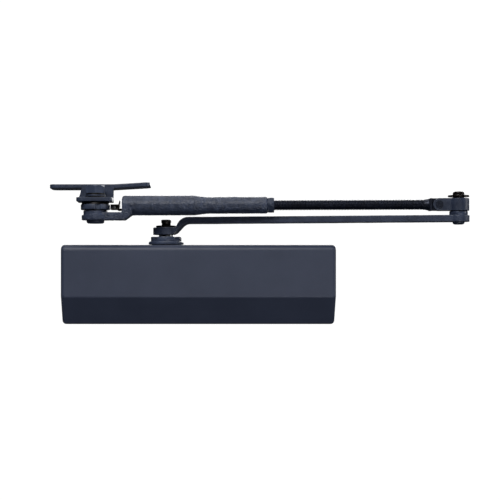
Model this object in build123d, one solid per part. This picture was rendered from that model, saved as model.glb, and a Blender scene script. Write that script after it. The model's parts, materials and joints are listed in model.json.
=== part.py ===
from build123d import *
import math
import os

# Overhead door closer with a parallel arm and a hold-open cam, arms folded as on a closed door.
# X runs along the body, Y points into the door and Z is up. Millimetres.
# The origin is the middle of the door screw pattern, on the face that lies against the door.

# Cover
cover_wall = 2.0
cover_end_space = 10.0
cover_foot_space = 4.0
cover_front_space = 2.0
cover_back_gap = 0.8
cover_crease_drop = 12.4
cover_slant_run = 18.0
cover_top_round = 6.0
cover_crease_round = 4.0
cover_bottom_round = 3.0
cover_end_round = 4.0

# Cast body
bore_radius = 19.0
barrel_wall = 6.0
barrel_to_door = 2.0
barrel_length = 212.0
pad_height = 40.0
lug_length = 20.0
lug_thickness = 9.0
lug_height = 44.0
door_hole_inset = 11.0
door_hole_rise = 19.0
door_hole_radius = 3.2
boss_radius = 15.0
boss_bore_radius = 12.0
boss_above_cover = 1.0
lower_boss_radius = 12.5
lower_bore_radius = 9.5
lower_boss_drop = 6.0
pinion_cap_thickness = 3.5
gallery_drop = 9.0
gallery_width = 14.0

# Fits
running_gap = 0.05
clear_gap = 0.4
thread_gap = 0.05

# Rack and pinion
pinion_inset = 60.1
tooth_module = 1.6
tooth_count = 12
pressure_angle = math.radians(20.0)
tooth_play = 0.12
rack_tooth_height = 0.65
gear_height = 18.0
journal_radius = 7.5
arm_square = 10.5
upper_bush_length = 10.0
lower_bush_length = 7.5
seal_length = 4.0
main_arm_swing = math.radians(170.0)
piston_length = 92.0
plug_length = 12.0
plug_gap = 1.0
seal_width = 2.6
seal_depth = 2.0

# Gland nut and collar ring round the pinion
collar_radius = 17.9
collar_height = 3.1
gland_radius = 15.6
gland_height = 4.6
gland_slot_width = 5.0
gland_slot_depth = 3.0

# Power spring and its adjuster
spring_wire = 4.6
spring_bore_gap = 3.1
spring_turns = 9
seat_thickness = 5.0
seat_hub_length = 16.0
seat_hub_gap = 1.8
seat_plug_space = 3.0
adjuster_radius = 4.0
adjuster_collar_radius = 6.5

# Valve screws
valve_radius = 2.5
valve_length = 20.0
valve_spacing = 7.0

# Main arm
main_arm_length = 293.3
main_arm_angle = -8.83
eye_lift = 2.15
eye_thickness = 7.45
eye_radius = 13.3
crank_rise = 11.15
arm_thickness = 6.6
arm_root_width = 23.0
arm_tip_width = 18.0
arm_tip_radius = 10.7
crank_start = 8.8
crank_run = 10.7

# Pinion screw and washer
washer_radius = 10.4
washer_thickness = 1.9
screw_head_radius = 5.1
screw_head_height = 6.1
screw_radius = 3.0
screw_length = 16.0

# Elbow
stud_radius = 5.6
stud_rivet_radius = 4.5
stud_dome_radius = 5.9
stud_dome_height = 2.6
stud_collar_radius = 9.0
stud_collar_height = 4.3
strap_lift = 0.1
strap_height = 12.2
strap_outer_radius = 10.4
strap_thickness = 3.2
strap_leg_length = 19.5
tongue_thickness = 7.0
clip_radius = 10.4
clip_thickness = 1.6
clip_lift = 1.4
stud_tip_height = 3.7
rivet_radius = 3.0
rivet_head_radius = 3.7
rivet_head_height = 1.0

# Threaded rod and lock nut
forearm_length = 360.7
forearm_angle = -3.18
rod_radius = 5.2
rod_engagement = 38.0
rod_head_length = 2.7
rod_flare_length = 4.1
nut_across_flats = 14.6
nut_thickness = 6.2
nut_gap = 0.1

# Forearm casting
barrel_start = 27.4
barrel_end = 99.8
forearm_barrel_radius = 9.8
shoulder_length = 12.0
sleeve_end = 172.6
sleeve_radius = 8.3
forearm_eye_drop = 14.45
forearm_eye_step = 5.0
forearm_eye_height = 9.5
forearm_eye_radius = 13.8
forearm_neck_radius = 11.9
flat_drop = 6.9
flat_width = 19.0
spring_bore_radius = 6.3
spring_bore_end = 88.0
rod_bore_start = 104.0

# Hold-open device
cam_radius = 14.7
cam_lift = 0.75
cam_thickness = 5.3
cam_notch_angle = -75.0
roller_radius = 4.0
roller_height = 2.3
roller_gap = 0.3
roller_pin_radius = 1.5
cheek_thickness = 1.5
carrier_width = 11.0
stem_drop = 5.2
stem_height = 2.2
stem_width = 4.8
retainer_length = 4.0
hold_spring_wire = 1.6
hold_spring_radius = 4.6
hold_spring_turns = 14

# Bracket pivot
pivot_radius = 8.0
pivot_neck_radius = 7.0
pivot_head_lip = 0.9
pivot_head_height = 3.35
bolt_radius = 5.0
bolt_across_flats = 18.0
bolt_head_height = 7.8
spring_washer_radius = 9.6
spring_washer_thickness = 1.6
flat_washer_radius = 10.4
flat_washer_thickness = 1.4

# Soffit bracket
cam_spacer_height = 2.7
plate_thickness = 4.0
bracket_rise = 18.9
wall_offset = 12.5
web_front = 15.5
web_left = 18.4
web_right = 17.4
wing_left = 47.8
wing_right = 54.2
wing_depth = 34.0
wing_tilt = 3.4
bracket_hole_radius = 2.8
bracket_hole_span = 72.0
bracket_hole_depth = 18.0

# Sizes that follow from the ones above
barrel_radius = bore_radius + barrel_wall
bore_depth = barrel_radius + barrel_to_door
bore_y = -bore_depth
half_barrel = barrel_length / 2
door_hole_spacing = barrel_length + 2 * (lug_length - door_hole_inset)
lower_boss_low = -barrel_radius - lower_boss_drop
gallery_low = -barrel_radius - gallery_drop
cover_length = barrel_length + 2 * (lug_length + cover_end_space + cover_wall)
cover_height = 2 * (cover_foot_space + cover_wall - gallery_low)
cover_depth = bore_depth + barrel_radius + cover_front_space + cover_wall
boss_top = cover_height / 2 + boss_above_cover
gland_low = boss_top + collar_height
pitch_radius = tooth_module * tooth_count / 2
gear_radius = pitch_radius + tooth_module
root_radius = pitch_radius - 1.25 * tooth_module
piston_travel = pitch_radius * main_arm_swing
piston_left = -half_barrel + plug_length + plug_gap
piston_right = piston_left + piston_length
pinion_offset = piston_left + pinion_inset
seat_right = half_barrel - plug_length - seat_plug_space
seat_left = seat_right - seat_thickness
spring_mean_radius = bore_radius - spring_bore_gap - spring_wire / 2
seat_hub_radius = spring_mean_radius - spring_wire / 2 - seat_hub_gap
eye_low = gland_low + gland_height + eye_lift
eye_top = eye_low + eye_thickness
arm_low = eye_low + crank_rise
arm_top = arm_low + arm_thickness
elbow_x = pinion_offset + main_arm_length * math.cos(math.radians(main_arm_angle))
elbow_y = bore_y + main_arm_length * math.sin(math.radians(main_arm_angle))
pivot_x = elbow_x - forearm_length * math.cos(math.radians(forearm_angle))
pivot_y = elbow_y - forearm_length * math.sin(math.radians(forearm_angle))
strap_low = arm_top + stud_collar_height + strap_lift
strap_top = strap_low + strap_height
forearm_z = strap_low + strap_height / 2
strap_inner_radius = strap_outer_radius - strap_thickness
strap_rivet_x = forearm_length - strap_leg_length
clip_low = strap_top + clip_lift
rod_start = sleeve_end - rod_engagement
forearm_eye_low = forearm_z - forearm_eye_drop
forearm_eye_high = forearm_eye_low + forearm_eye_height
flat_top = forearm_z - flat_drop
stem_low = forearm_z - stem_drop
cam_low = forearm_eye_high + cam_lift
cam_top = cam_low + cam_thickness
roller_x = cam_radius + roller_gap + roller_radius
pivot_head_radius = pivot_radius + pivot_head_lip
pivot_head_low = forearm_eye_low - pivot_head_height
web_low = cam_top + cam_spacer_height
web_top = web_low + plate_thickness
plate_top = web_low + bracket_rise
plate_low = plate_top - plate_thickness
bolt_head_low = web_top + 2 * spring_washer_thickness + flat_washer_thickness


def bar_x(radius, left, right, y=0.0, z=0.0):
    """A round bar along X."""
    seam_to_door = Rot(0, 90, 0) * Rot(0, 0, 90)
    return Pos((left + right) / 2, y, z) * seam_to_door * Cylinder(radius, right - left)


def bar_y(radius, near, far, x=0.0, z=0.0):
    """A round bar along Y."""
    return Pos(x, (near + far) / 2, z) * Rot(90, 0, 0) * Cylinder(radius, far - near)


def bar_z(radius, low, high, x=0.0, y=0.0):
    """An upright round bar."""
    return Pos(x, y, (low + high) / 2) * Cylinder(radius, high - low)


def block(left, right, near, far, low, high):
    """A box between six faces."""
    middle = Pos((left + right) / 2, (near + far) / 2, (low + high) / 2)
    return middle * Box(right - left, far - near, high - low)


def ring_z(outer, inner, low, high, x=0.0, y=0.0):
    """An upright ring."""
    return bar_z(outer, low, high, x, y) - bar_z(inner, low, high, x, y)


def cone_x(left_radius, right_radius, left, right, z=0.0):
    """A cone frustum along X."""
    turned = Rot(0, 90, 0) * Cone(left_radius, right_radius, right - left)
    return Pos((left + right) / 2, 0, z) * turned


def cone_z(low_radius, high_radius, low, high):
    """An upright cone frustum."""
    return Pos(0, 0, (low + high) / 2) * Cone(low_radius, high_radius, high - low)


def side_plate(points, near, far):
    """A plate whose outline lies in the XZ plane, between two Y values."""
    outline = make_face(Polyline(*points, close=True).edges())
    face = Plane.XZ.offset(-far) * outline
    return extrude(face, far - near)


def coil(wire, mean_radius, turns, left, right, z=0.0):
    """A compression spring along X, its wire just inside the two ends."""
    length = right - left - wire
    path = Helix(length / turns, length, mean_radius)
    start = Plane(origin=path @ 0, z_dir=path % 0)
    wound = sweep(start * Circle(wire / 2), path=path, is_frenet=True)
    return Pos(left + wire / 2, 0, z) * Rot(0, 90, 0) * wound


def on_main_arm(shape):
    """Carries a shape from the main arm's own frame, with its origin on the pinion axis."""
    return Pos(pinion_offset, bore_y, 0) * Rot(0, 0, main_arm_angle) * shape


def on_forearm(shape):
    """Carries a shape from the forearm's own frame, with its origin on the bracket pivot."""
    return Pos(pivot_x, pivot_y, 0) * Rot(0, 0, forearm_angle) * shape


def on_bracket(shape):
    """Carries a shape from the bracket's own frame, with its origin on the bracket pivot."""
    return Pos(pivot_x, pivot_y, 0) * shape


def cover_section(inset, back):
    """The cover's end outline, pulled in by inset on every side but the back."""
    half = cover_height / 2
    slant = math.atan2(cover_slant_run, half - cover_crease_drop)
    crease_shift = inset * math.tan(slant / 2)
    foot_shift = inset * math.tan((math.pi / 2 - slant) / 2)
    points = [
        (back, -half + inset),
        (back, half - inset),
        (-cover_depth + inset, half - inset),
        (-cover_depth + inset, -cover_crease_drop + crease_shift),
        (-cover_depth + cover_slant_run + foot_shift, -half + inset),
    ]
    face = make_face(Polyline(*points, close=True).edges())
    rounds = [
        (points[2], cover_top_round - inset),
        (points[3], cover_crease_round),
        (points[4], cover_bottom_round - inset / 2),
    ]
    for point, radius in rounds:
        corner = face.vertices().sort_by_distance((*point, 0))[0]
        face = fillet(corner, radius)
    return face


def cover_block(inset, back, length):
    """The cover's section drawn out along X."""
    section = Plane.YZ.offset(-length / 2) * cover_section(inset, back)
    return extrude(section, length)


def make_cover():
    """The moulded shell, open towards the door, with a slot for the pinion boss."""
    outer = cover_block(0.0, -cover_back_gap, cover_length)
    ends = outer.faces().filter_by(Axis.X)
    rims = [edge for edge in ends.edges() if edge.center().Y < -cover_back_gap - 0.1]
    outer = fillet(rims, cover_end_round)
    inner_length = cover_length - 2 * cover_wall
    shell = outer - cover_block(cover_wall, 1.0, inner_length)
    slot_radius = boss_radius + clear_gap
    slot_low = cover_height / 2 - 2 * cover_wall
    slot_high = cover_height / 2 + 1.0
    left = pinion_offset - slot_radius
    right = pinion_offset + slot_radius
    shell -= block(left, right, bore_y, 1.0, slot_low, slot_high)
    shell -= bar_z(slot_radius, slot_low, slot_high, pinion_offset, bore_y)
    lug_end = half_barrel + lug_length
    end_inside = cover_length / 2 - cover_wall / 2
    for side in (-1, 1):
        for level in (-1, 1):
            inner_x = side * lug_end
            outer_x = side * end_inside
            z = level * lug_height / 3
            rib = block(min(inner_x, outer_x), max(inner_x, outer_x), -lug_thickness,
                        -cover_back_gap, z - 3, z + 3)
            shell += rib
    return shell


def door_hole_places():
    """The four door screw holes, as X and Z."""
    return [
        (x, z)
        for x in (-door_hole_spacing / 2, door_hole_spacing / 2)
        for z in (-door_hole_rise / 2, door_hole_rise / 2)
    ]


def valve_places():
    """The valve screws: node name, end of the body it enters, and Y."""
    middle = bore_y
    return [
        ("sweep_valve", -1, middle - valve_spacing / 2),
        ("latch_valve", -1, middle + valve_spacing / 2),
        ("backcheck_valve", 1, middle),
    ]


def valve_height():
    """The height of the valve bores, in the middle of the solid part of the gallery rib."""
    return (gallery_low - bore_radius - barrel_wall) / 2 - 0.5


def make_body():
    """The cast iron body: barrel, door pad, end lugs, pinion boss and oil gallery rib."""
    body = bar_x(barrel_radius, -half_barrel, half_barrel, bore_y)
    body += block(-half_barrel, half_barrel, bore_y, 0, -pad_height / 2, pad_height / 2)
    lug_end = half_barrel + lug_length
    lugs = block(-lug_end, lug_end, -lug_thickness, 0, -lug_height / 2, lug_height / 2)
    upright = lugs.edges().filter_by(Axis.Y)
    body += fillet(upright, lug_thickness / 2)
    near = bore_y - gallery_width / 2
    far = bore_y + gallery_width / 2
    body += block(-half_barrel, half_barrel, near, far, gallery_low, 0)
    body += bar_z(boss_radius, 0, boss_top, pinion_offset, bore_y)
    body += bar_z(lower_boss_radius, lower_boss_low, 0, pinion_offset, bore_y)
    body -= bar_x(bore_radius, -half_barrel, half_barrel, bore_y)
    body -= bar_z(boss_bore_radius, 0, boss_top, pinion_offset, bore_y)
    body -= bar_z(lower_bore_radius, lower_boss_low, 0, pinion_offset, bore_y)
    for x, z in door_hole_places():
        body -= bar_y(door_hole_radius, -lug_thickness, 0, x, z)
    for name, side, y in valve_places():
        mouth = side * half_barrel
        inner = side * (half_barrel - valve_length)
        body -= bar_x(valve_radius + running_gap, min(mouth, inner), max(mouth, inner),
                      y, valve_height())
    return body


def make_end_plug(side):
    """A threaded plug that closes one end of the bore, with a seal groove."""
    outer = side * half_barrel
    inner = side * (half_barrel - plug_length)
    plug = bar_x(bore_radius, min(outer, inner), max(outer, inner), bore_y)
    groove = plug_seal(side)
    return plug - groove


def plug_seal(side):
    """The seal ring in an end plug's groove."""
    middle = side * (half_barrel - plug_length / 2)
    left = middle - seal_width / 2
    right = middle + seal_width / 2
    ring = bar_x(bore_radius, left, right, bore_y)
    return ring - bar_x(bore_radius - seal_depth, left, right, bore_y)


def make_left_plug():
    """The left end plug, with a hexagon socket for its key."""
    socket_flats = 12.0
    socket_depth = 5.0
    hexagon = Plane.YZ * RegularPolygon(socket_flats / 2, 6, major_radius=False)
    socket = extrude(hexagon, socket_depth)
    return make_end_plug(-1) - Pos(-half_barrel, bore_y, 0) * socket


def make_right_plug():
    """The right end plug, bored for the spring adjuster."""
    bore = bar_x(adjuster_radius + thread_gap, seat_right, half_barrel, bore_y)
    return make_end_plug(1) - bore


def gear_outline():
    """The pinion's involute teeth, one of them pointing along +Y."""
    base_radius = pitch_radius * math.cos(pressure_angle)
    tooth_width = math.pi * tooth_module / 2 - tooth_play
    half_angle = tooth_width / (2 * pitch_radius)
    roll = math.tan(pressure_angle) - pressure_angle
    steps = 5
    points = []
    for tooth in range(tooth_count):
        middle = math.pi / 2 + tooth * 2 * math.pi / tooth_count
        flank = []
        for step in range(steps + 1):
            radius = base_radius + (gear_radius - base_radius) * step / steps
            angle = math.acos(min(1.0, base_radius / radius))
            spread = half_angle + roll - (math.tan(angle) - angle)
            flank.append((radius, spread))
        root = (root_radius, flank[0][1])
        right = [root] + flank
        left = right[::-1]
        for radius, spread in right:
            turned = middle - spread
            points.append((radius * math.cos(turned), radius * math.sin(turned)))
        for radius, spread in left:
            turned = middle + spread
            points.append((radius * math.cos(turned), radius * math.sin(turned)))
    return make_face(Polyline(*points, close=True).edges())


def make_pinion():
    """The pinion: gear, two journals, a square end for the arm and a tapped hole."""
    gear = Pos(0, 0, -gear_height / 2) * extrude(gear_outline(), gear_height)
    journal_low = lower_boss_low + pinion_cap_thickness + clear_gap
    pinion = Rot(0, 0, -main_arm_angle) * gear
    pinion += bar_z(journal_radius, journal_low, eye_low)
    square_high = eye_top - 0.5
    half = arm_square / 2
    pinion += block(-half, half, -half, half, eye_low, square_high)
    pinion -= bar_z(screw_radius, eye_top - screw_length, square_high)
    return on_main_arm(pinion)


def make_bush(outer, low, high):
    """A plain bearing bush for one pinion journal."""
    return ring_z(outer, journal_radius + running_gap, low, high, pinion_offset, bore_y)


def make_pinion_seal(low):
    """The oil seal above the upper bush."""
    inner = journal_radius + running_gap
    return ring_z(boss_bore_radius, inner, low, low + seal_length, pinion_offset, bore_y)


def make_gland_nut(low):
    """The castellated nut that holds the bush and the seal down in the boss."""
    high = gland_low + gland_height
    nut = bar_z(gland_radius, gland_low, high) + bar_z(boss_bore_radius, low, gland_low)
    nut -= bar_z(journal_radius + 2 * clear_gap, low, high)
    nut -= bar_z(boss_bore_radius - 1.5, high - gland_slot_depth / 2, high)
    slot = block(0, 2 * gland_radius, -gland_slot_width / 2, gland_slot_width / 2,
                 high - gland_slot_depth, high)
    for quarter in range(4):
        nut -= Rot(0, 0, 45 + 90 * quarter) * slot
    return Pos(pinion_offset, bore_y, 0) * nut


def make_collar():
    """The ring between the boss and the gland nut, which hides the cover's slot."""
    ring = bar_z(collar_radius, boss_top, gland_low)
    ring = chamfer(ring.edges().group_by(Axis.Z)[-1], collar_height / 3)
    ring -= bar_z(boss_bore_radius, boss_top, gland_low)
    return Pos(pinion_offset, bore_y, 0) * ring


def make_pinion_cap():
    """The plug under the lower journal."""
    cap = bar_z(lower_bore_radius, lower_boss_low, lower_boss_low + pinion_cap_thickness)
    spanner_hole = bar_z(1.2, lower_boss_low, lower_boss_low + pinion_cap_thickness / 2)
    for side in (-5, 5):
        cap -= Pos(side, 0, 0) * spanner_hole
    return Pos(pinion_offset, bore_y, 0) * cap


def rack_window():
    """The slot through the piston, with the rack teeth along its door side."""
    end_space = 1.5
    left = pinion_offset - piston_travel - gear_radius - end_space
    right = pinion_offset + gear_radius + end_space
    near = -gear_radius - end_space
    tip = pitch_radius - rack_tooth_height * tooth_module
    root = pitch_radius + 1.25 * tooth_module
    pitch = math.pi * tooth_module
    slope = math.tan(pressure_angle)
    root_half = pitch / 4 - 1.25 * tooth_module * slope
    tip_half = pitch / 4 + rack_tooth_height * tooth_module * slope
    points = [(left, near), (right, near), (right, tip)]
    first = math.floor((right - pinion_offset - tip_half) / pitch)
    last = math.ceil((left - pinion_offset + tip_half) / pitch)
    for gap in range(first, last - 1, -1):
        middle = pinion_offset + gap * pitch
        points.append((middle + tip_half, tip))
        points.append((middle + root_half, root))
        points.append((middle - root_half, root))
        points.append((middle - tip_half, tip))
    points.append((left, tip))
    outline = make_face(Polyline(*points, close=True).edges())
    window = extrude(outline, 2 * bore_radius)
    return Pos(0, bore_y, -bore_radius) * window


def ball_place():
    """The radius of the check ball, and the X of its middle."""
    radius = 3.0
    return radius, piston_right - 2 * radius


def make_piston():
    """The rack piston, with oil grooves and a check valve pocket in its spring end."""
    radius = bore_radius - running_gap
    piston = bar_x(radius, piston_left, piston_right, bore_y)
    piston -= rack_window()
    groove_width = 2.0
    for inset in (4.0, piston_length - 4.0):
        middle = piston_left + inset
        left = middle - groove_width / 2
        right = middle + groove_width / 2
        groove = bar_x(radius, left, right, bore_y)
        piston -= groove - bar_x(radius - 1.0, left, right, bore_y)
    ball_radius, ball_x = ball_place()
    piston -= bar_x(ball_radius, ball_x - ball_radius, piston_right, bore_y)
    piston -= bar_x(ball_radius / 2, pinion_offset, piston_right, bore_y)
    return piston


def make_check_ball():
    """The ball that lets oil pass one way through the piston."""
    radius, middle = ball_place()
    return Pos(middle, bore_y, 0) * Sphere(radius)


def make_check_seat():
    """The ring that keeps the ball in its pocket."""
    radius, middle = ball_place()
    left = middle + radius
    ring = bar_x(radius, left, piston_right, bore_y)
    return ring - bar_x(radius / 2, left, piston_right, bore_y)


def make_spring_seat():
    """The seat that the adjuster draws along the bore to load the spring."""
    seat = bar_x(bore_radius - 1.0, seat_left, seat_right, bore_y)
    hub_left = seat_left - seat_hub_length
    seat += bar_x(seat_hub_radius, hub_left, seat_left, bore_y)
    return seat - bar_x(adjuster_radius + thread_gap, hub_left, seat_right, bore_y)


def make_adjuster():
    """The screw through the right plug, with a hexagon socket in its end."""
    left = seat_left - seat_hub_length + 1.0
    screw = bar_x(adjuster_radius, left, half_barrel - 1.0, bore_y)
    collar_left = seat_right + 0.5
    collar_right = half_barrel - plug_length - 0.2
    screw += bar_x(adjuster_collar_radius, collar_left, collar_right, bore_y)
    hexagon = Plane.YZ * RegularPolygon(adjuster_radius / 2, 6, major_radius=False)
    socket = extrude(hexagon, -adjuster_radius)
    return screw - Pos(half_barrel - 1.0, bore_y, 0) * socket


def make_valve(side, y):
    """A needle valve screw with a slotted head and a seal groove."""
    tip_length = 4.0
    slot_width = 0.8
    screw = bar_x(valve_radius, tip_length - valve_length, -0.5)
    screw += cone_x(0.8, valve_radius, 0.2 - valve_length, tip_length - valve_length)
    screw -= block(-1.7, 0, -slot_width / 2, slot_width / 2, -valve_radius, valve_radius)
    screw -= valve_ring(valve_radius, 0.0)
    turned = Rot(0, 0, 0 if side > 0 else 180) * screw
    return Pos(side * half_barrel, y, valve_height()) * turned


def valve_ring(outer, gap):
    """The ring of space or rubber in a valve screw's groove."""
    left = -7.0
    right = -5.4
    ring = bar_x(outer, left + gap, right - gap)
    return ring - bar_x(valve_radius - 0.7 + gap, left, right)


def make_valve_seals():
    """The small O-rings round the three valve screws."""
    seals = []
    for name, side, y in valve_places():
        ring = valve_ring(valve_radius + running_gap, running_gap)
        turned = Rot(0, 0, 0 if side > 0 else 180) * ring
        seals.append(Pos(side * half_barrel, y, valve_height()) * turned)
    return Compound(children=seals)


def make_main_arm():
    """The forged arm: a flat eye, a crank up and a long tapering bar."""
    tip = main_arm_length + arm_tip_radius
    crank_top = crank_start + crank_run
    upper_shift = 2.9
    points = [
        (-eye_radius, eye_low),
        (crank_start, eye_low),
        (crank_top, arm_low),
        (tip, arm_low),
        (tip, arm_top),
        (crank_top - 3.0, arm_top),
        (crank_start + upper_shift, eye_top),
        (-eye_radius, eye_top),
    ]
    face = make_face(Polyline(*points, close=True).edges())
    rounds = [(points[1], 9.0), (points[2], 9.0), (points[5], 12.0), (points[6], 2.0)]
    for point, radius in rounds:
        corner = face.vertices().sort_by_distance((*point, 0))[0]
        face = fillet(corner, radius)
    side = Plane.XZ.offset(-eye_radius) * face
    profile = extrude(side, 2 * eye_radius)
    bar = Polyline(
        (0, -arm_root_width / 2),
        (main_arm_length, -arm_tip_width / 2),
        (main_arm_length, arm_tip_width / 2),
        (0, arm_root_width / 2),
        close=True,
    )
    plan = make_face(bar.edges()) + Circle(eye_radius)
    plan += Pos(main_arm_length, 0) * Circle(arm_tip_radius)
    outline = Pos(0, 0, eye_low) * extrude(plan, arm_top - eye_low)
    arm = profile & outline
    half = arm_square / 2
    arm -= block(-half, half, -half, half, eye_low, eye_top)
    arm -= bar_z(stud_rivet_radius, arm_low, arm_top, main_arm_length)
    return on_main_arm(arm)


def make_pinion_washer():
    """The washer under the pinion screw's head."""
    return on_main_arm(ring_z(washer_radius, screw_radius + 0.3, eye_top,
                              eye_top + washer_thickness))


def make_pinion_screw():
    """The screw that holds the arm on the pinion, with a waisted head and a hexagon socket."""
    head_low = eye_top + washer_thickness
    head_high = head_low + screw_head_height
    waist = screw_head_radius - 0.5
    head = bar_z(waist, head_low, head_high) + bar_z(screw_head_radius, head_low + 3.0, head_high)
    head = chamfer(head.edges().group_by(Axis.Z)[-1], 0.6)
    socket = Pos(0, 0, head_high - 3.0) * extrude(RegularPolygon(2.5, 6, major_radius=False), 3.0)
    head -= socket
    shank = bar_z(screw_radius, eye_top - screw_length + 2.0, head_low)
    return on_main_arm(head + shank)


def make_elbow_stud():
    """The stud riveted in the arm's end, with a collar below and a groove near its tip."""
    dome_low = arm_low - stud_dome_height
    stud = bar_z(stud_dome_radius, dome_low, arm_low)
    stud = fillet(stud.edges().group_by(Axis.Z)[0], stud_dome_height - 0.3)
    stud += bar_z(stud_rivet_radius, arm_low, arm_top)
    collar_high = arm_top + stud_collar_height
    collar = bar_z(stud_collar_radius, arm_top, collar_high)
    stud += chamfer(collar.edges().group_by(Axis.Z)[-1], 0.8)
    tip_high = clip_low + clip_thickness + stud_tip_height
    shank = bar_z(stud_radius, collar_high, tip_high)
    shank = fillet(shank.edges().group_by(Axis.Z)[-1], 1.6)
    stud += shank
    stud -= ring_z(stud_radius + 1, stud_radius - 1.1, clip_low, clip_low + clip_thickness)
    return on_main_arm(Pos(main_arm_length, 0, 0) * stud)


def make_elbow_clip():
    """The open retaining ring in the stud's groove."""
    neck = stud_radius - 1.1
    clip = ring_z(clip_radius, neck, clip_low, clip_low + clip_thickness)
    clip -= block(0, 2 * clip_radius, -neck * 0.8, neck * 0.8, clip_low, clip_low + clip_thickness)
    for angle in (60, 180, 300):
        lobe = bar_z(1.6, clip_low, clip_low + clip_thickness, 7.2)
        clip -= Rot(0, 0, angle + 30) * lobe
    return on_main_arm(Pos(main_arm_length, 0, 0) * Rot(0, 0, 90) * clip)


def make_elbow_bush():
    """The bush inside the strap, which turns on the stud."""
    bush = ring_z(strap_inner_radius, stud_radius + running_gap, strap_low, strap_top)
    return on_forearm(Pos(forearm_length, 0, 0) * bush)


def make_strap():
    """The strap bent round the stud, with two legs riveted to the rod's tongue."""
    half_out = tongue_thickness / 2 + strap_thickness
    end_radius = strap_height / 2
    leg_start = strap_rivet_x - end_radius
    strap = bar_z(strap_outer_radius, strap_low, strap_top, forearm_length)
    strap += block(leg_start, forearm_length, -half_out, half_out, strap_low, strap_top)
    strap -= bar_z(strap_inner_radius, strap_low, strap_top, forearm_length)
    half_in = tongue_thickness / 2 + running_gap
    strap -= block(leg_start, forearm_length, -half_in, half_in, strap_low, strap_top)
    legs = block(strap_rivet_x, forearm_length + strap_outer_radius, -strap_outer_radius,
                 strap_outer_radius, strap_low, strap_top)
    legs += bar_y(end_radius, -half_out, half_out, strap_rivet_x, forearm_z)
    strap &= legs
    strap -= bar_y(rivet_radius, -half_out, half_out, strap_rivet_x, forearm_z)
    bush_space = bar_z(strap_inner_radius, strap_low, strap_top, forearm_length)
    return on_forearm(strap - bush_space)


def make_strap_rivet():
    """The cross rivet on which the rod tilts."""
    half_out = tongue_thickness / 2 + strap_thickness
    rivet = bar_y(rivet_radius, -half_out, half_out, strap_rivet_x, forearm_z)
    for side in (-1, 1):
        face = side * half_out
        top = side * (half_out + rivet_head_height)
        rivet += bar_y(rivet_head_radius, min(face, top), max(face, top), strap_rivet_x, forearm_z)
    return on_forearm(rivet)


def make_threaded_rod():
    """The rod: a threaded shank, a flared head and a flat tongue for the strap."""
    half_out = tongue_thickness / 2 + strap_thickness
    end_radius = strap_height / 2
    head_right = strap_rivet_x - end_radius - 0.6
    head_left = head_right - rod_head_length
    shank_end = head_left - rod_flare_length
    rod = bar_x(rod_radius, rod_start, shank_end, 0, forearm_z)
    rod += cone_x(rod_radius, end_radius, shank_end, head_left, forearm_z)
    rod += block(head_left, head_right, -half_out, half_out, strap_low, strap_top)
    half = tongue_thickness / 2
    rod += block(head_right, strap_rivet_x, -half, half, strap_low, strap_top)
    rod += bar_y(end_radius, -half, half, strap_rivet_x, forearm_z)
    rod -= bar_y(rivet_radius + running_gap, -half, half, strap_rivet_x, forearm_z)
    return on_forearm(rod)


def make_lock_nut():
    """The thin nut that locks the rod in the sleeve."""
    hexagon = Plane.YZ * Rot(0, 0, 0) * RegularPolygon(nut_across_flats / 2, 6, major_radius=False)
    left = sleeve_end + nut_gap
    nut = extrude(hexagon, nut_thickness)
    corner_radius = nut_across_flats / 2 / math.cos(math.pi / 6)
    rounding = cone_x(nut_across_flats / 2, corner_radius + 1.0, 0, corner_radius)
    rounding += bar_x(corner_radius + 1.0, corner_radius, corner_radius + nut_thickness)
    far_side = Pos(nut_thickness, 0, 0) * Rot(0, 0, 180) * rounding
    nut = nut & rounding & far_side
    nut = Pos(left, 0, forearm_z) * nut
    return on_forearm(nut - bar_x(rod_radius + thread_gap, left, left + nut_thickness, 0, forearm_z))


def make_forearm():
    """The cast forearm: an eye, a flat neck, the spring barrel and the threaded sleeve."""
    step = forearm_eye_low + forearm_eye_step
    arm = bar_z(forearm_eye_radius, forearm_eye_low, step)
    arm += bar_z(forearm_neck_radius, step, forearm_eye_high)
    slope_run = 8.0
    slope_start = barrel_start + 2.0
    half = flat_width / 2
    arm += side_plate(
        [
            (0, forearm_eye_low),
            (slope_start, forearm_eye_low),
            (slope_start + slope_run, forearm_z - forearm_barrel_radius + 1.0),
            (slope_start + slope_run, forearm_z),
            (barrel_start, forearm_z),
            (barrel_start, flat_top),
            (0, flat_top),
        ],
        -half,
        half,
    )
    barrel = bar_x(forearm_barrel_radius, barrel_start, barrel_end, 0, forearm_z)
    arm += chamfer(barrel.edges().group_by(Axis.X)[0], 1.0)
    shoulder_end = barrel_end + shoulder_length
    arm += cone_x(forearm_barrel_radius, sleeve_radius, barrel_end, shoulder_end, forearm_z)
    sleeve = bar_x(sleeve_radius, shoulder_end, sleeve_end, 0, forearm_z)
    arm += chamfer(sleeve.edges().group_by(Axis.X)[-1], 1.2)
    arm -= bar_z(pivot_radius + running_gap, forearm_eye_low, forearm_eye_high)
    arm -= bar_x(spring_bore_radius, barrel_start, spring_bore_end, 0, forearm_z)
    arm -= bar_x(rod_radius + thread_gap, rod_bore_start, sleeve_end, 0, forearm_z)
    return on_forearm(arm)


def stem_block(left, right, gap):
    """The carrier's flat stem, or its slot when gap is more than nothing."""
    half = stem_width / 2 + gap
    return block(left, right, -half, half, stem_low - gap, stem_low + stem_height + gap)


def make_spring_retainer():
    """The plug in the mouth of the spring bore, slotted for the carrier's stem."""
    right = barrel_start + retainer_length
    plug = bar_x(spring_bore_radius, barrel_start, right, 0, forearm_z)
    return on_forearm(plug - stem_block(barrel_start, right, running_gap))


def seat_range():
    """The ends of the carrier's spring seat along the forearm."""
    left = barrel_start + retainer_length + 4.0
    return left, left + 3.0


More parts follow.
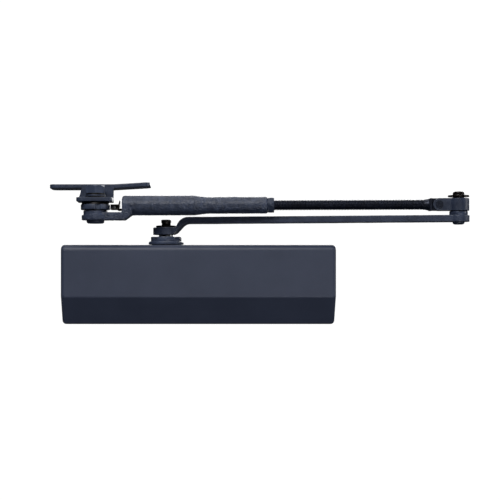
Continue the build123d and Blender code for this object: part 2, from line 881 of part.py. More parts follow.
def make_carrier():
    """The roller carrier: two cheeks, a back wall with an upturned tab, a stem and a seat."""
    half = carrier_width / 2
    wall_left = roller_x + roller_radius
    wall_right = barrel_start - 2.8
    cheek_left = cam_radius + 1.0
    cheek_high = cam_low + cheek_thickness
    upper_low = cam_top - cheek_thickness
    carrier = block(cheek_left, wall_right, -half, half, cam_low, cheek_high)
    carrier += block(cheek_left, wall_right, -half, half, upper_low, cam_top)
    carrier += block(wall_left, wall_right, -half, half, stem_low, cam_top)
    tab = [
        (wall_left + 0.4, cam_top),
        (wall_right, cam_top),
        (wall_right + 0.4, cam_top + 4.0),
        (wall_right - 0.1, cam_top + 4.0),
    ]
    carrier += side_plate(tab, -half * 0.6, half * 0.6)
    left, right = seat_range()
    carrier += stem_block(wall_left, right, 0.0)
    carrier += bar_x(spring_bore_radius - 0.1, left, right, 0, forearm_z)
    carrier -= bar_z(roller_pin_radius, cam_low, cam_top, roller_x)
    return on_forearm(carrier)


def make_roller():
    """The roller that bears on the cam's rim."""
    middle = (cam_low + cam_top) / 2
    low = middle - roller_height / 2
    high = middle + roller_height / 2
    inner = roller_pin_radius + running_gap
    return on_forearm(ring_z(roller_radius - 0.1, inner, low, high, roller_x))


def make_roller_pin():
    """The pin that carries the roller."""
    return on_forearm(bar_z(roller_pin_radius, cam_low, cam_top, roller_x))


def make_hold_spring():
    """The spring that presses the roller on the cam."""
    left, right = seat_range()
    spring = coil(hold_spring_wire, hold_spring_radius, hold_spring_turns, right,
                  spring_bore_end, forearm_z)
    return on_forearm(spring)


def make_power_spring():
    """The spring that closes the door, between the piston and its seat."""
    spring = coil(spring_wire, spring_mean_radius, spring_turns, piston_right, seat_left)
    return Pos(0, bore_y, 0) * spring


def make_cam():
    """The hold-open cam, a disc with one notch for the roller."""
    cam = bar_z(cam_radius, cam_low, cam_top)
    cam = chamfer(cam.edges().group_by(Axis.Z)[0], 0.5)
    cam -= bar_z(pivot_neck_radius, cam_low, cam_top)
    angle = math.radians(cam_notch_angle)
    reach = cam_radius + roller_radius - 2.0
    cam -= bar_z(roller_radius, cam_low, cam_top, reach * math.cos(angle), reach * math.sin(angle))
    return on_bracket(cam)


def make_cam_spacer():
    """The tapered ring between the cam and the bracket."""
    cone = cone_z(cam_radius - 0.5, cam_radius - 1.5, cam_top, web_low)
    return on_bracket(cone - bar_z(pivot_neck_radius, cam_top, web_low))


def make_thrust_washer():
    """The thin washer between the cam and the forearm's eye."""
    ring = ring_z(forearm_neck_radius - 0.8, pivot_radius, forearm_eye_high + running_gap, cam_low)
    return on_bracket(ring)


def make_pivot_pin():
    """The headed pin that the forearm turns on, tapped for the bolt."""
    head_high = forearm_eye_low - running_gap
    head = bar_z(pivot_head_radius, pivot_head_low, head_high)
    pin = fillet(head.edges().group_by(Axis.Z)[0], 2.0)
    pin += bar_z(pivot_radius, head_high, cam_low)
    pin += bar_z(pivot_neck_radius, cam_low, web_low - 0.5)
    pin -= bar_z(bolt_radius, pivot_head_low + 6.0, web_low - 0.5)
    return on_bracket(pin)


def make_pivot_bolt():
    """The hexagon bolt that clamps the cam and its pin to the bracket."""
    hexagon = RegularPolygon(bolt_across_flats / 2, 6, major_radius=False)
    head = Pos(0, 0, bolt_head_low) * Rot(0, 0, 30) * extrude(hexagon, bolt_head_height)
    corner = bolt_across_flats / 2 / math.cos(math.pi / 6)
    high = bolt_head_low + bolt_head_height
    crown = cone_z(corner + 3.5, bolt_across_flats / 2 - 0.5, high - 3.5, high)
    head &= crown + bar_z(corner + 3.5, bolt_head_low, high - 3.5)
    return on_bracket(head + bar_z(bolt_radius, pivot_head_low + 6.5, bolt_head_low))


def make_spring_washers():
    """The spring washers above and below the flat washer."""
    lower = ring_z(spring_washer_radius, bolt_radius, web_top, web_top + spring_washer_thickness)
    high = bolt_head_low
    upper = ring_z(spring_washer_radius, bolt_radius, high - spring_washer_thickness, high)
    return Compound(children=[on_bracket(lower), on_bracket(upper)])


def make_flat_washer():
    """The flat washer between the two spring washers."""
    low = web_top + spring_washer_thickness
    ring = ring_z(flat_washer_radius, bolt_radius, low, low + flat_washer_thickness)
    return on_bracket(ring)


def bracket_hole_places():
    """The four soffit screw holes, as X and Y from the pivot."""
    middle_x = (wing_right - wing_left) / 2
    middle_y = wall_offset + wing_depth / 2
    return [
        (middle_x + side * bracket_hole_span / 2, middle_y + row * bracket_hole_depth / 2)
        for side in (-1, 1)
        for row in (-1, 1)
    ]


def make_bracket():
    """The pressed bracket: two wings under the soffit, a drop wall and a web for the pivot."""
    wall_back = wall_offset + plate_thickness
    plate_back = wall_offset + wing_depth
    web = block(-web_left, web_right, -web_front, wall_back, web_low, web_top)
    web = fillet(web.edges().filter_by(Axis.Z).group_by(Axis.Y)[0], 5.0)
    wall = side_plate(
        [
            (-web_left, web_low),
            (web_right, web_low),
            (web_right, plate_top),
            (-web_left + 3.8, plate_top),
            (-web_left + 2.0, plate_top - 9.0),
            (-web_left, web_top),
        ],
        wall_offset,
        wall_back,
    )
    left_wing = block(-wing_left, web_right, wall_offset, plate_back, plate_low, plate_top)
    left_wing = fillet(left_wing.edges().filter_by(Axis.Z).group_by(Axis.X)[0], 6.0)
    lap = plate_thickness / 2
    right_wing = block(-lap, wing_right - web_right, wall_offset, plate_back, -plate_thickness, 0)
    right_wing = fillet(right_wing.edges().filter_by(Axis.Z).group_by(Axis.X)[-1], 6.0)
    right_wing = Pos(web_right, 0, plate_top) * Rot(0, -wing_tilt, 0) * right_wing
    bracket = web + wall + left_wing + right_wing
    inside_bends = [
        edge
        for edge in bracket.edges().filter_by(Axis.X)
        if abs(edge.center().Y - wall_offset) < 0.01 and abs(edge.center().Z - web_top) < 0.01
    ]
    bracket = fillet(inside_bends, plate_thickness / 2)
    bracket -= bar_z(bolt_radius + 0.5, web_low, web_top)
    relief = 1.0
    for left in (-web_left + 2.2, web_right):
        bracket -= block(left, left + relief, wall_offset, plate_back, plate_low - relief,
                         plate_low + plate_thickness / 2)
    for x, y in bracket_hole_places():
        bracket -= bar_z(bracket_hole_radius, plate_low - 1, plate_top + 5, x, y)
    return on_bracket(bracket)


def make_nodes():
    """Every separate piece, by node name."""
    bush_start = bore_radius + 0.3
    seal_low = bush_start + upper_bush_length
    lower_bush_end = -bush_start - lower_bush_length
    nodes = {
        "closer_body": make_body(),
        "cover": make_cover(),
        "end_plug_left": make_left_plug(),
        "end_plug_right": make_right_plug(),
        "plug_seals": Compound(children=[plug_seal(-1), plug_seal(1)]),
        "pinion": make_pinion(),
        "pinion_bush_upper": make_bush(boss_bore_radius, bush_start, seal_low),
        "pinion_bush_lower": make_bush(lower_bore_radius, lower_bush_end, -bush_start),
        "pinion_seal": make_pinion_seal(seal_low),
        "gland_nut": make_gland_nut(seal_low + seal_length),
        "pinion_collar": make_collar(),
        "pinion_cap": make_pinion_cap(),
        "piston": make_piston(),
        "check_ball": make_check_ball(),
        "check_seat": make_check_seat(),
        "power_spring": make_power_spring(),
        "spring_seat": make_spring_seat(),
        "spring_adjuster": make_adjuster(),
        "valve_seals": make_valve_seals(),
        "main_arm": make_main_arm(),
        "pinion_washer": make_pinion_washer(),
        "pinion_screw": make_pinion_screw(),
        "elbow_stud": make_elbow_stud(),
        "elbow_clip": make_elbow_clip(),
        "elbow_bush": make_elbow_bush(),
        "rod_end_strap": make_strap(),
        "strap_rivet": make_strap_rivet(),
        "threaded_rod": make_threaded_rod(),
        "lock_nut": make_lock_nut(),
        "forearm": make_forearm(),
        "spring_retainer": make_spring_retainer(),
        "hold_open_spring": make_hold_spring(),
        "roller_carrier": make_carrier(),
        "roller": make_roller(),
        "roller_pin": make_roller_pin(),
        "hold_open_cam": make_cam(),
        "cam_spacer": make_cam_spacer(),
        "thrust_washer": make_thrust_washer(),
        "pivot_pin": make_pivot_pin(),
        "pivot_bolt": make_pivot_bolt(),
        "spring_washers": make_spring_washers(),
        "flat_washer": make_flat_washer(),
        "soffit_bracket": make_bracket(),
    }
    for name, side, y in valve_places():
        nodes[name] = make_valve(side, y)
    return nodes


os.makedirs("parts", exist_ok=True)
for node_name, solid in make_nodes().items():
    export_step(solid, f"parts/{node_name}.step")
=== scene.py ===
import json
import math
import bmesh
import bpy
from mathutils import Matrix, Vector, noise


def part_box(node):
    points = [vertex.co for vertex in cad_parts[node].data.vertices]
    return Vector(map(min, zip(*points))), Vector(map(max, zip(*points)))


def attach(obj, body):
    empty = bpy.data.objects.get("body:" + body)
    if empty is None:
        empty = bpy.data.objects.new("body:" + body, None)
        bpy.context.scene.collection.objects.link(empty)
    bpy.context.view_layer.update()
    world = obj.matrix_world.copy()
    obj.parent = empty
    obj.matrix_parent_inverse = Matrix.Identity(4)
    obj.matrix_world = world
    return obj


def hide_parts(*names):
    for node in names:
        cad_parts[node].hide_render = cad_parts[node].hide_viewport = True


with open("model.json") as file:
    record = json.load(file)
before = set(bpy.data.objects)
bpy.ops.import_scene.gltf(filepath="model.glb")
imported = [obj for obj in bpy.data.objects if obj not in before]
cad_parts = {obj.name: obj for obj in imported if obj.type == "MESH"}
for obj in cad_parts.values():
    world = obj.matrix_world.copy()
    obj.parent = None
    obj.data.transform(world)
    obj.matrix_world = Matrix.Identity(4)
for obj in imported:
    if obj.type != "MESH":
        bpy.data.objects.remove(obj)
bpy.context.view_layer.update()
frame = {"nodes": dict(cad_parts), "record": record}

mm = 0.001
bandsPerUnit = 3.18  # bands that a wave texture draws per unit at scale 1
nodes = frame["nodes"]
bodyOf = {node: body for body, held in frame["record"]["behaviour"]["bodies"].items() for node in held}
slotOf = {part["node"]: part["material_slot"] for part in frame["record"]["subparts"]}


# Helpers for node materials

def toLinear(hexText):
    channels = [int(hexText[i:i + 2], 16) / 255 for i in (1, 3, 5)]
    linear = [c / 12.92 if c <= 0.04045 else ((c + 0.055) / 1.055) ** 2.4 for c in channels]
    return (*linear, 1.0)


def addNode(tree, kind, settings=None, links=None):
    node = tree.nodes.new(kind)
    for key, value in (settings or {}).items():
        if isinstance(key, int) or key in node.inputs:
            node.inputs[key].default_value = value
        else:
            setattr(node, key, value)
    for key, socket in (links or {}).items():
        tree.links.new(socket, node.inputs[key])
    return node


def addRamp(tree, factor, stops):
    ramp = addNode(tree, "ShaderNodeValToRGB", links={"Fac": factor})
    while len(ramp.color_ramp.elements) < len(stops):
        ramp.color_ramp.elements.new(0.5)
    for element, (place, colour) in zip(ramp.color_ramp.elements, stops):
        element.position = place
        element.color = colour
    return ramp.outputs["Color"]


def grey(level):
    return (level, level, level, 1.0)


def finishMaterial(look):
    # One surface recipe: two tones that drift, a fine grain with painted shade in its pits, a coarse
    # unevenness, and lighter convex edges as a painted highlight
    material = bpy.data.materials.new(look["name"])
    material.use_nodes = True
    tree = material.node_tree
    tree.nodes.clear()
    place = addNode(tree, "ShaderNodeTexCoord").outputs["Object"]
    drift = addNode(tree, "ShaderNodeTexNoise",
                    {"Scale": 1 / (look["driftMm"] * mm), "Detail": 4.0, "Roughness": 0.55},
                    {"Vector": place})
    grain = addNode(tree, "ShaderNodeTexNoise",
                    {"Scale": 1 / (look["grainMm"] * mm), "Detail": 3.0, "Roughness": 0.6},
                    {"Vector": place})
    coarse = addNode(tree, "ShaderNodeTexNoise",
                     {"Scale": 1 / (look["coarseMm"] * mm), "Detail": 5.0, "Roughness": 0.6,
                      "Distortion": look.get("coarseTwist", 0.0)},
                     {"Vector": place})
    base = addRamp(tree, drift.outputs["Fac"],
                   [(0.32, toLinear(look["dark"])), (0.68, toLinear(look["light"]))])
    # Painted shade: the grain's low spots, the pits of its bump, are darkened a little
    pitShadeRamp = addRamp(tree, grain.outputs["Fac"], [(0.30, grey(1 - look["pitShade"])), (0.55, grey(1.0))])
    pitShadedTone = addNode(tree, "ShaderNodeMix", {"data_type": "RGBA", "blend_type": "MULTIPLY", 0: 1.0},
                     {6: base, 7: pitShadeRamp})
    colour = pitShadedTone.outputs[2]
    if look.get("edge"):
        # Painted highlight: convex edges lightened where light would catch them, found by pointiness and
        # broken up by the drift
        point = addNode(tree, "ShaderNodeNewGeometry").outputs["Pointiness"]
        edgeHighlightMask = addRamp(tree, point, [(look["edgeHighlightFrom"], grey(0.0)), (look["edgeHighlightTo"], grey(1.0))])
        broken = addNode(tree, "ShaderNodeMath", {"operation": "MULTIPLY"},
                         {0: edgeHighlightMask, 1: drift.outputs["Fac"]})
        edgeHighlighted = addNode(tree, "ShaderNodeMix",
                       {"data_type": "RGBA", 7: toLinear(look["edge"])},
                       {0: broken.outputs[0], 6: colour})
        colour = edgeHighlighted.outputs[2]
    gloss = addNode(tree, "ShaderNodeMapRange",
                    {"From Min": 0.3, "From Max": 0.7, "To Min": look["smooth"], "To Max": look["matt"]},
                    {"Value": coarse.outputs["Fac"]})
    low = addNode(tree, "ShaderNodeBump",
                  {"Strength": look["coarseBump"], "Distance": look["coarseDeepMm"] * mm},
                  {"Height": coarse.outputs["Fac"]})
    fine = addNode(tree, "ShaderNodeBump",
                   {"Strength": look["grainBump"], "Distance": look["grainDeepMm"] * mm},
                   {"Height": grain.outputs["Fac"], "Normal": low.outputs["Normal"]})
    normal = fine.outputs["Normal"]
    if look.get("ringMm"):
        # Lathe or rolling marks, bands square to the named axis
        rings = addNode(tree, "ShaderNodeTexWave",
                        {"wave_type": "BANDS", "bands_direction": look["ringAxis"],
                         "Scale": 1 / (look["ringMm"] * mm) / bandsPerUnit, "Distortion": 1.2,
                         "Detail": 2.0},
                        {"Vector": place})
        turned = addNode(tree, "ShaderNodeBump",
                         {"Strength": look["ringBump"], "Distance": 0.02 * mm},
                         {"Height": rings.outputs["Fac"], "Normal": normal})
        normal = turned.outputs["Normal"]
    shader = addNode(tree, "ShaderNodeBsdfPrincipled", {"Metallic": look.get("metallic", 0.0)},
                     {"Base Color": colour, "Roughness": gloss.outputs["Result"], "Normal": normal})
    for socket in ("IOR", "Specular IOR Level", "Coat Weight", "Coat Roughness", "Anisotropic",
                   "Sheen Weight", "Sheen Roughness"):
        if socket in look:
            shader.inputs[socket].default_value = look[socket]
    addNode(tree, "ShaderNodeOutputMaterial", links={"Surface": shader.outputs["BSDF"]})
    return material


def giveMaterial(obj, material):
    if obj.data.materials:
        for i in range(len(obj.data.materials)):
            obj.data.materials[i] = material
    else:
        obj.data.materials.append(material)


# Materials

# Injection-moulded ABS from a spark-eroded tool: an even satin grey-blue with a fine dry grain.
# The real grit is about 0.1 mm; drawn at 0.45 mm so that it shows.
mouldedAbs = finishMaterial({
    "name": "mouldedAbs", "dark": "#3a4257", "light": "#40485e", "driftMm": 38,
    "grainMm": 0.45, "pitShade": 0.10, "coarseMm": 9, "smooth": 0.44, "matt": 0.52,
    "coarseBump": 0.05, "coarseDeepMm": 0.05, "grainBump": 0.20, "grainDeepMm": 0.05,
    "IOR": 1.53})

# Stoved enamel on a drop forging: deep navy with a soft sheen, faint scale under the coat. Its edge tone
# is a painted highlight on the convex edges
enamelOnForging = finishMaterial({
    "name": "enamelOnForging", "dark": "#2a3246", "light": "#3c465d", "driftMm": 11,
    "grainMm": 0.7, "pitShade": 0.18, "coarseMm": 2.6, "smooth": 0.34, "matt": 0.50,
    "coarseBump": 0.45, "coarseDeepMm": 0.18, "grainBump": 0.25, "grainDeepMm": 0.05,
    "edge": "#6f788c", "edgeHighlightFrom": 0.52, "edgeHighlightTo": 0.58, "IOR": 1.5, "coarseTwist": 0.4})

# The same enamel over a sand casting: the sand's grit shows through as a pebbled skin. Its edge tone is
# a painted highlight on the convex edges
enamelOnSandCasting = finishMaterial({
    "name": "enamelOnSandCasting", "dark": "#2a3246", "light": "#465068", "driftMm": 6,
    "grainMm": 0.8, "pitShade": 0.35, "coarseMm": 1.7, "smooth": 0.28, "matt": 0.50,
    "coarseBump": 0.85, "coarseDeepMm": 0.40, "grainBump": 0.50, "grainDeepMm": 0.10,
    "edge": "#7a8398", "edgeHighlightFrom": 0.53, "edgeHighlightTo": 0.62, "IOR": 1.5, "coarseTwist": 0.6})

# Stoved enamel on pressed steel plate: smoother, with an orange-peel skin. Its edge tone is a painted
# highlight on the convex edges
enamelOnPlate = finishMaterial({
    "name": "enamelOnPlate", "dark": "#2e3649", "light": "#3f495f", "driftMm": 14,
    "grainMm": 0.9, "pitShade": 0.12, "coarseMm": 3.2, "smooth": 0.30, "matt": 0.44,
    "coarseBump": 0.22, "coarseDeepMm": 0.10, "grainBump": 0.18, "grainDeepMm": 0.04,
    "edge": "#606878", "edgeHighlightFrom": 0.53, "edgeHighlightTo": 0.60, "IOR": 1.5})

# Enamel on the turned collar and gland nut: even satin, with lathe rings under the coat
enamelOnTurned = finishMaterial({
    "name": "enamelOnTurned", "dark": "#3a4358", "light": "#4c566d", "driftMm": 9,
    "grainMm": 0.6, "pitShade": 0.12, "coarseMm": 2.4, "smooth": 0.32, "matt": 0.46,
    "coarseBump": 0.20, "coarseDeepMm": 0.08, "grainBump": 0.18, "grainDeepMm": 0.04,
    "ringMm": 0.8, "ringAxis": "Z", "ringBump": 0.15, "IOR": 1.5})

# Grey iron, as cast and painted over: coarse and dull
enamelOnIron = finishMaterial({
    "name": "enamelOnIron", "dark": "#262c38", "light": "#303745", "driftMm": 16,
    "grainMm": 0.9, "pitShade": 0.25, "coarseMm": 2.2, "smooth": 0.46, "matt": 0.62,
    "coarseBump": 0.50, "coarseDeepMm": 0.20, "grainBump": 0.35, "grainDeepMm": 0.06,
    "IOR": 1.5})

# Zinc plate blackened after thread rolling: near-black blue, glossy on the crests
blackZincRod = finishMaterial({
    "name": "blackZincRod", "dark": "#191c28", "light": "#252a3a", "driftMm": 5,
    "grainMm": 0.4, "pitShade": 0.20, "coarseMm": 2.0, "smooth": 0.26, "matt": 0.42,
    "coarseBump": 0.15, "coarseDeepMm": 0.05, "grainBump": 0.12, "grainDeepMm": 0.02,
    "metallic": 0.55})

# Hot black oxide on machined steel: brownish black with an oily shine
blackOxide = finishMaterial({
    "name": "blackOxide", "dark": "#1c1a19", "light": "#2e2b29", "driftMm": 4,
    "grainMm": 0.35, "pitShade": 0.25, "coarseMm": 1.6, "smooth": 0.24, "matt": 0.42,
    "coarseBump": 0.12, "coarseDeepMm": 0.04, "grainBump": 0.15, "grainDeepMm": 0.02,
    "ringMm": 0.5, "ringAxis": "Z", "ringBump": 0.12, "metallic": 0.8})

# Ground and turned carbon steel: bright grey, fine circular marks
groundSteel = finishMaterial({
    "name": "groundSteel", "dark": "#8b8d90", "light": "#a9abad", "driftMm": 12,
    "grainMm": 0.4, "pitShade": 0.12, "coarseMm": 3.0, "smooth": 0.22, "matt": 0.36,
    "coarseBump": 0.08, "coarseDeepMm": 0.03, "grainBump": 0.12, "grainDeepMm": 0.01,
    "ringMm": 0.4, "ringAxis": "X", "ringBump": 0.20, "metallic": 1.0})

# Oil-tempered spring wire: straw-grey with a drawn sheen
springWire = finishMaterial({
    "name": "springWire", "dark": "#4b4a49", "light": "#6a6765", "driftMm": 7,
    "grainMm": 0.5, "pitShade": 0.20, "coarseMm": 2.0, "smooth": 0.30, "matt": 0.44,
    "coarseBump": 0.10, "coarseDeepMm": 0.04, "grainBump": 0.10, "grainDeepMm": 0.02,
    "metallic": 1.0})

# Sintered bronze: warm brown, faintly porous
sinteredBronze = finishMaterial({
    "name": "sinteredBronze", "dark": "#7c5a34", "light": "#9a7445", "driftMm": 5,
    "grainMm": 0.4, "pitShade": 0.35, "coarseMm": 1.5, "smooth": 0.34, "matt": 0.50,
    "coarseBump": 0.15, "coarseDeepMm": 0.04, "grainBump": 0.30, "grainDeepMm": 0.03,
    "metallic": 1.0})

# Moulded nitrile rubber: matt black with a dusty bloom
nitrileRubber = finishMaterial({
    "name": "nitrileRubber", "dark": "#131313", "light": "#1d1d1e", "driftMm": 4,
    "grainMm": 0.4, "pitShade": 0.20, "coarseMm": 1.8, "smooth": 0.62, "matt": 0.78,
    "coarseBump": 0.10, "coarseDeepMm": 0.04, "grainBump": 0.20, "grainDeepMm": 0.02,
    "IOR": 1.52, "Sheen Weight": 0.1})

slotMaterials = {
    "cover_plastic": mouldedAbs, "body_enamel": enamelOnIron, "collar_enamel": enamelOnTurned,
    "arm_enamel": enamelOnForging, "cast_enamel": enamelOnSandCasting, "strap_enamel": enamelOnPlate,
    "rod_black": blackZincRod, "black_oxide": blackOxide, "bracket_enamel": enamelOnPlate,
    "machined_steel": groundSteel, "spring_steel": springWire, "bush_bronze": sinteredBronze,
    "seal_rubber": nitrileRubber}

# Rivets set after painting: bare heads in a dark blue-black, darker than the enamel around them
darkRivet = finishMaterial({
    "name": "darkRivet", "dark": "#171b26", "light": "#2e3547", "driftMm": 1.6,
    "grainMm": 0.35, "pitShade": 0.35, "coarseMm": 1.2, "smooth": 0.26, "matt": 0.48,
    "coarseBump": 0.35, "coarseDeepMm": 0.10, "grainBump": 0.20, "grainDeepMm": 0.03,
    "metallic": 0.5})

for nodeName, obj in nodes.items():
    giveMaterial(obj, slotMaterials[slotOf[nodeName]])
giveMaterial(nodes["strap_rivet"], darkRivet)
giveMaterial(nodes["pivot_bolt"], enamelOnTurned)
print("materials given to", len(nodes), "nodes")


# Pieces remade from a node's own shape

def tracedCopy(nodeName, pieceName):
    # A new object with its own copy of the node's mesh
    piece = bpy.data.objects.new(pieceName, nodes[nodeName].data.copy())
    bpy.context.scene.collection.objects.link(piece)
    return piece


def bakeModifiers(piece):
    shape = piece.evaluated_get(bpy.context.evaluated_depsgraph_get())
    made = bpy.data.meshes.new_from_object(shape)
    piece.modifiers.clear()
    piece.data = made
    made.polygons.foreach_set("use_smooth", [True] * len(made.polygons))


def softenShape(piece, form):
    # Remeshed and relaxed so that every edge gets the rounding of its process
    skin = piece.modifiers.new("skin", "REMESH")
    skin.mode = "VOXEL"
    skin.voxel_size = form["cellMm"] * mm
    skin.adaptivity = 0.0
    relax = piece.modifiers.new("relax", "SMOOTH")
    relax.factor = 0.5
    relax.iterations = form["relax"]
    bakeModifiers(piece)


def roughenShape(piece, form):
    # Real unevenness of the skin, pushed in from the nominal surface
    mesh = piece.data
    places = []
    for vertex in mesh.vertices:
        pebble = noise.fractal(vertex.co / (form["pebbleMm"] * mm), 0.6, 2.0, 3)
        wave = noise.noise(vertex.co / (form["waveMm"] * mm))
        shift = (pebble * form["pebbleDeepMm"] + wave * form["waveDeepMm"]) * mm
        places.extend(vertex.co + vertex.normal * shift)
    mesh.vertices.foreach_set("co", places)
    mesh.update()


def standIn(piece, nodeName):
    giveMaterial(piece, slotMaterials[slotOf[nodeName]])
    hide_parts(nodeName)
    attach(piece, bodyOf[nodeName])


softForms = {
    "forearm": {"piece": "forearmCasting", "cellMm": 0.5, "relax": 3, "pebbleMm": 1.5,
                "pebbleDeepMm": 0.24, "waveMm": 9.0, "waveDeepMm": 0.16},
    "main_arm": {"piece": "mainArmForging", "cellMm": 0.5, "relax": 5, "pebbleMm": 2.4,
                 "pebbleDeepMm": 0.05, "waveMm": 14.0, "waveDeepMm": 0.08},
    "soffit_bracket": {"piece": "soffitBracketPressing", "cellMm": 0.45, "relax": 3, "pebbleMm": 3.0,
                       "pebbleDeepMm": 0.02, "waveMm": 12.0, "waveDeepMm": 0.04},
    "rod_end_strap": {"piece": "rodEndStrap", "cellMm": 0.28, "relax": 4, "pebbleMm": 2.0,
                      "pebbleDeepMm": 0.02, "waveMm": 8.0, "waveDeepMm": 0.03},
    "roller_carrier": {"piece": "rollerCarrierPressing", "cellMm": 0.25, "relax": 2, "pebbleMm": 2.0,
                       "pebbleDeepMm": 0.02, "waveMm": 7.0, "waveDeepMm": 0.02},
}
for nodeName, form in softForms.items():
    piece = tracedCopy(nodeName, form["piece"])
    softenShape(piece, form)
    roughenShape(piece, form)
    standIn(piece, nodeName)
    print("remade", form["piece"], len(piece.data.polygons), "faces")


# Threaded rod: rolled thread on the shank, softened head and tongue

rodForm = {"piece": "threadedRodRolled", "leanDegrees": -3.18, "pitchMm": 1.5, "deepMm": 0.60,
           "perPitch": 10, "round": 36, "shankRadiusMm": 5.2, "cellMm": 0.28, "relax": 3,
           "flareMarginMm": 0.2, "cutBackMm": 2.0, "lapMm": 1.2, "runOutPitches": 2.5}


def rodAxes():
    # The rod's own frame: along its length, across it, and up
    turn = math.radians(rodForm["leanDegrees"])
    along = Vector((math.cos(turn), math.sin(turn), 0))
    across = Vector((-math.sin(turn), math.cos(turn), 0))
    return along, across, Vector((0, 0, 1))


def threadProfile(share):
    # Height of a rounded V thread over one pitch, 0 at the root and 1 at the crest
    saw = abs(2 * (share % 1.0) - 1)
    return min(1.0, max(0.0, (saw - 0.12) / 0.70))


def makeRod():
    along, across, up = rodAxes()
    mesh = nodes["threaded_rod"].data
    reach = [vertex.co.dot(along) for vertex in mesh.vertices]
    start = min(reach)
    # The axis line: through the middle of the vertices at the shank's plain end
    near = [vertex.co for vertex in mesh.vertices if vertex.co.dot(along) < start + 1 * mm]
    foot = sum(near, Vector()) / len(near)
    foot -= along * (foot.dot(along) - start)
    head = tracedCopy("threaded_rod", rodForm["piece"])
    # Keep the flare, head and tongue, and close the cut
    form = bmesh.new()
    form.from_mesh(head.data)
    bmesh.ops.remove_doubles(form, verts=form.verts, dist=1e-6)
    wideRadius = (rodForm["shankRadiusMm"] + rodForm["flareMarginMm"]) * mm
    wide = []
    for vertex in form.verts:
        place = vertex.co - foot
        out = place - along * place.dot(along)
        if out.length > wideRadius:
            wide.append(place.dot(along))
    flareStart = min(wide) - rodForm["cutBackMm"] * mm
    cut = bmesh.ops.bisect_plane(form, geom=form.verts[:] + form.edges[:] + form.faces[:],
                                 plane_co=foot + along * flareStart, plane_no=along, clear_inner=True)
    rim = [item for item in cut["geom_cut"] if isinstance(item, bmesh.types.BMEdge)]
    bmesh.ops.edgeloop_fill(form, edges=rim)
    form.to_mesh(head.data)
    form.free()
    softenShape(head, rodForm)
    # The thread as a grid of rings, each shifted round by the helix
    pitch = rodForm["pitchMm"] * mm
    shankLength = flareStart + rodForm["lapMm"] * mm
    rings = int(shankLength / pitch * rodForm["perPitch"])
    step = shankLength / rings
    form = bmesh.new()
    form.from_mesh(head.data)
    grid = []
    for i in range(rings + 1):
        reachHere = i * step
        runOut = (rings - i) / (rodForm["runOutPitches"] * rodForm["perPitch"])
        fade = min(1.0, runOut, 0.25 + i / rodForm["perPitch"])
        ring = []
        for k in range(rodForm["round"]):
            share = k / rodForm["round"]
            height = threadProfile(reachHere / pitch - share)
            radius = (rodForm["shankRadiusMm"] - rodForm["deepMm"] * (1 - height) * fade) * mm
            turn = share * 2 * math.pi
            offset = across * math.cos(turn) * radius + up * math.sin(turn) * radius
            ring.append(form.verts.new(foot + along * reachHere + offset))
        grid.append(ring)
    for lower, upper in zip(grid, grid[1:]):
        for k in range(rodForm["round"]):
            after = (k + 1) % rodForm["round"]
            form.faces.new((lower[k], lower[after], upper[after], upper[k]))
    form.faces.new(grid[0][::-1])
    form.faces.new(grid[-1])
    bmesh.ops.recalc_face_normals(form, faces=form.faces)
    form.to_mesh(head.data)
    form.free()
    head.data.polygons.foreach_set("use_smooth", [True] * len(head.data.polygons))
    standIn(head, "threaded_rod")
    return head


rod = makeRod()
print("rod thread cut:", len(rod.data.polygons), "faces")


# Turned, stamped and machined pieces keep their CAD shape, with broken edges

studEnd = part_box("elbow_bush")[1].z


def makeStudFinish():
    # Painted with the arm up to the strap, bare black oxide above it
    material = blackOxide.copy()
    material.name = "studPaintedFoot"
    tree = material.node_tree
    bare = next(n for n in tree.nodes if n.type == "BSDF_PRINCIPLED")
    place = next(n for n in tree.nodes if n.type == "TEX_COORD").outputs["Object"]
    height = addNode(tree, "ShaderNodeSeparateXYZ", links={0: place})
    above = addNode(tree, "ShaderNodeMath", {"operation": "GREATER_THAN", 1: studEnd},
                    {0: height.outputs["Z"]})
    tone = next(n for n in tree.nodes if n.type == "VALTORGB")
    enamel = addNode(tree, "ShaderNodeBsdfPrincipled",
                     {"Roughness": 0.34, "IOR": 1.5},
                     {"Normal": bare.inputs["Normal"].links[0].from_socket})
    tones = addRamp(tree, tone.inputs["Fac"].links[0].from_socket,
                    [(0.32, toLinear("#2a3246")), (0.68, toLinear("#465068"))])
    tree.links.new(tones, enamel.inputs["Base Color"])
    both = addNode(tree, "ShaderNodeMixShader",
                   links={0: above.outputs[0], 1: enamel.outputs[0], 2: bare.outputs[0]})
    output = next(n for n in tree.nodes if n.type == "OUTPUT_MATERIAL")
    tree.links.new(both.outputs[0], output.inputs["Surface"])
    return material


giveMaterial(nodes["elbow_stud"], makeStudFinish())

brokenEdges = {
    "gland_nut": 0.35, "pinion_collar": 0.30, "pinion_washer": 0.20, "pinion_screw": 0.20,
    "elbow_stud": 0.20, "elbow_clip": 0.20, "strap_rivet": 0.30, "lock_nut": 0.20,
    "hold_open_cam": 0.40, "cam_spacer": 0.25, "thrust_washer": 0.10, "pivot_pin": 0.40,
    "pivot_bolt": 0.20, "flat_washer": 0.18, "spring_washers": 0.15, "roller": 0.15,
    "roller_pin": 0.15, "pinion": 0.10, "spring_retainer": 0.20, "elbow_bush": 0.15}
for nodeName, width in brokenEdges.items():
    weld = nodes[nodeName].modifiers.new("weld", "WELD")
    weld.merge_threshold = 0.001 * mm
    edge = nodes[nodeName].modifiers.new("edge", "BEVEL")
    edge.width = width * mm
    edge.segments = 2
    edge.limit_method = "ANGLE"
    edge.angle_limit = math.radians(35)
    edge.use_clamp_overlap = True
    edge.harden_normals = False
print("edges broken on", len(brokenEdges), "nodes")


# Studio

studio = {"distance": 1.356, "lens": 93.6, "shiftX": 0.1032, "shiftY": 0.0693,
          "floorLow": -0.62, "floorSize": 3.0}


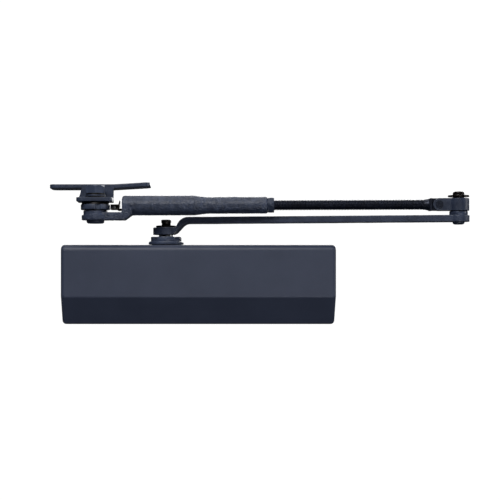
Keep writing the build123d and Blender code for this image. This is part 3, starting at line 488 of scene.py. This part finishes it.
def addLight(name, place, aim, size, power):
    lamp = bpy.data.lights.new(name, "AREA")
    lamp.shape = "RECTANGLE"
    lamp.size, lamp.size_y = size
    lamp.energy = power
    holder = bpy.data.objects.new(name, lamp)
    bpy.context.scene.collection.objects.link(holder)
    holder.location = place
    holder.rotation_euler = (Vector(aim) - Vector(place)).to_track_quat("-Z", "Y").to_euler()


def makeFloor():
    half = studio["floorSize"] / 2
    form = bmesh.new()
    corners = [form.verts.new((x, y, studio["floorLow"])) for x, y in
               ((-half, -half), (half, -half), (half, half), (-half, half))]
    form.faces.new(corners)
    mesh = bpy.data.meshes.new("paperFloor")
    form.to_mesh(mesh)
    form.free()
    floor = bpy.data.objects.new("paperFloor", mesh)
    bpy.context.scene.collection.objects.link(floor)
    paper = bpy.data.materials.new("whitePaper")
    paper.use_nodes = True
    shader = paper.node_tree.nodes["Principled BSDF"]
    shader.inputs["Base Color"].default_value = grey(0.90)
    shader.inputs["Roughness"].default_value = 0.9
    shader.inputs["Emission Color"].default_value = grey(1.0)
    shader.inputs["Emission Strength"].default_value = 0.75
    mesh.materials.append(paper)
    # The paper is seen but throws no light up at the dark enamel
    floor.visible_diffuse = False
    floor.visible_glossy = False


def makeSky():
    # White to the eye, dimmer as a light, so that the dark enamel keeps its dark rims
    world = bpy.data.worlds.new("studioAir")
    bpy.context.scene.world = world
    world.use_nodes = True
    tree = world.node_tree
    tree.nodes.clear()
    seen = addNode(tree, "ShaderNodeLightPath").outputs["Is Camera Ray"]
    white = addNode(tree, "ShaderNodeBackground", {"Color": grey(1.0), "Strength": 1.05})
    dim = addNode(tree, "ShaderNodeBackground", {"Color": (0.80, 0.86, 1.0, 1.0), "Strength": 0.05})
    both = addNode(tree, "ShaderNodeMixShader", links={0: seen, 1: dim.outputs[0], 2: white.outputs[0]})
    addNode(tree, "ShaderNodeOutputWorld", links={"Surface": both.outputs[0]})


makeFloor()
makeSky()
addLight("keyBox", (-0.35, -1.5, 1.25), (0.05, 0, 0.03), (1.2, 0.8), 20)
addLight("lowBox", (0.6, -1.9, -0.75), (0.05, 0, 0.03), (1.2, 1.0), 10)
addLight("topBox", (0.1, 0.1, 1.7), (0.05, 0, 0.0), (1.4, 1.0), 9)
addLight("backBox", (0.5, 1.9, 0.8), (0.0, 0, 0.0), (1.6, 1.2), 34)
addLight("sideBox", (2.0, -0.2, 0.6), (0.1, 0, 0.03), (1.0, 1.0), 9)

camera = bpy.data.objects.new("camera", bpy.data.cameras.new("camera"))
bpy.context.scene.collection.objects.link(camera)
camera.location = (0, -studio["distance"], 0)
camera.rotation_euler = (math.radians(90), 0, 0)
camera.data.lens = studio["lens"]
camera.data.sensor_width = 36
camera.data.shift_x = studio["shiftX"]
camera.data.shift_y = studio["shiftY"]
camera.data.clip_start = 0.05
camera.data.clip_end = 50
bpy.context.scene.camera = camera
bpy.context.scene.view_settings.view_transform = "Standard"
print("studio set")
